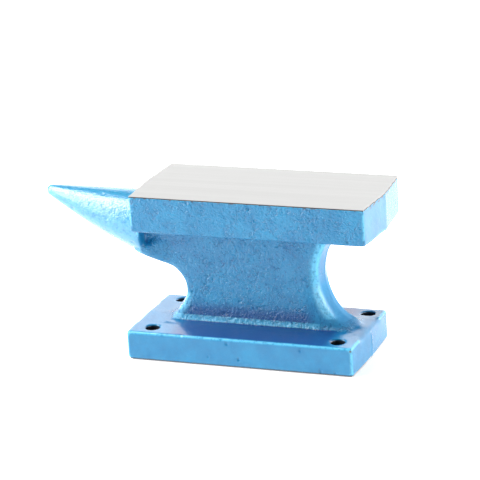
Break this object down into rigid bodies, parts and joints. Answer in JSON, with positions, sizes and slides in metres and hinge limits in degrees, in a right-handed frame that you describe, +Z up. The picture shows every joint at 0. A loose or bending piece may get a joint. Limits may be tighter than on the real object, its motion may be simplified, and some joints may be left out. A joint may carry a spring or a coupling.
{
  "type": "horn anvil",
  "caption": "Small cast iron horn anvil: ground face, round horn, square heel, thin waist and a flat base with screw holes, in blue enamel.",
  "frame": {"origin": "centre of the base's underside", "axes": "+X along the length, from the horn to the heel; +Z up, out of the working face; -Y is the long side seen in the picture"},
  "size_m": [0.1027, 0.032, 0.0489],
  "materials": {
    "blue_enamel": "gloss enamel over rough casting",
    "ground_iron": "ground flat, bare"
  },
  "bodies": {
    "root": {"base": "blue_enamel", "waist": "blue_enamel", "table": "blue_enamel", "horn": "blue_enamel", "face_plate": "ground_iron"}
  },
  "joints": []
}
